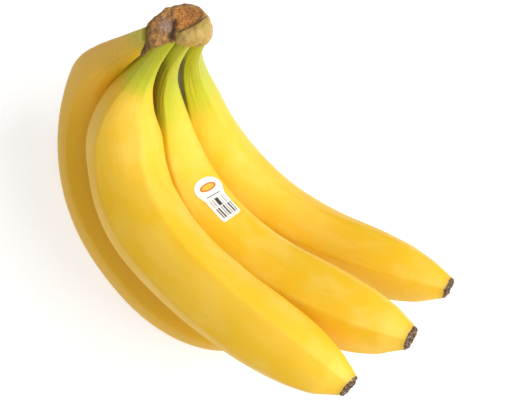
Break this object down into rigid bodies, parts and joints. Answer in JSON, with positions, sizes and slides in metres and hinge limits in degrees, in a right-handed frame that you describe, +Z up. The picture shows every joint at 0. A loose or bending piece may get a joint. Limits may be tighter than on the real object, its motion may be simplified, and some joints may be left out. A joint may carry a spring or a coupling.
{
  "type": "hand of bananas",
  "caption": "Ripe yellow bananas joined at one brown crown, lying on their backs, with greenish necks, dark dry tips and a small paper label.",
  "frame": {"origin": "under the middle of the bounding box, at the level of the table", "axes": "+X along the fruits, from the crown to the blossom ends; +Z up"},
  "size_m": [0.1817, 0.0967, 0.116],
  "materials": {
    "crown_bark": "dry, rough bark with stringy fibres at the cut",
    "peel": "satin, slightly waxy banana peel",
    "label_paper": "smooth coated paper"
  },
  "bodies": {
    "root": {"crown": "crown_bark", "banana_left": "peel", "banana_front": "peel", "banana_middle": "peel", "banana_right": "peel", "label": "label_paper"}
  },
  "joints": []
}
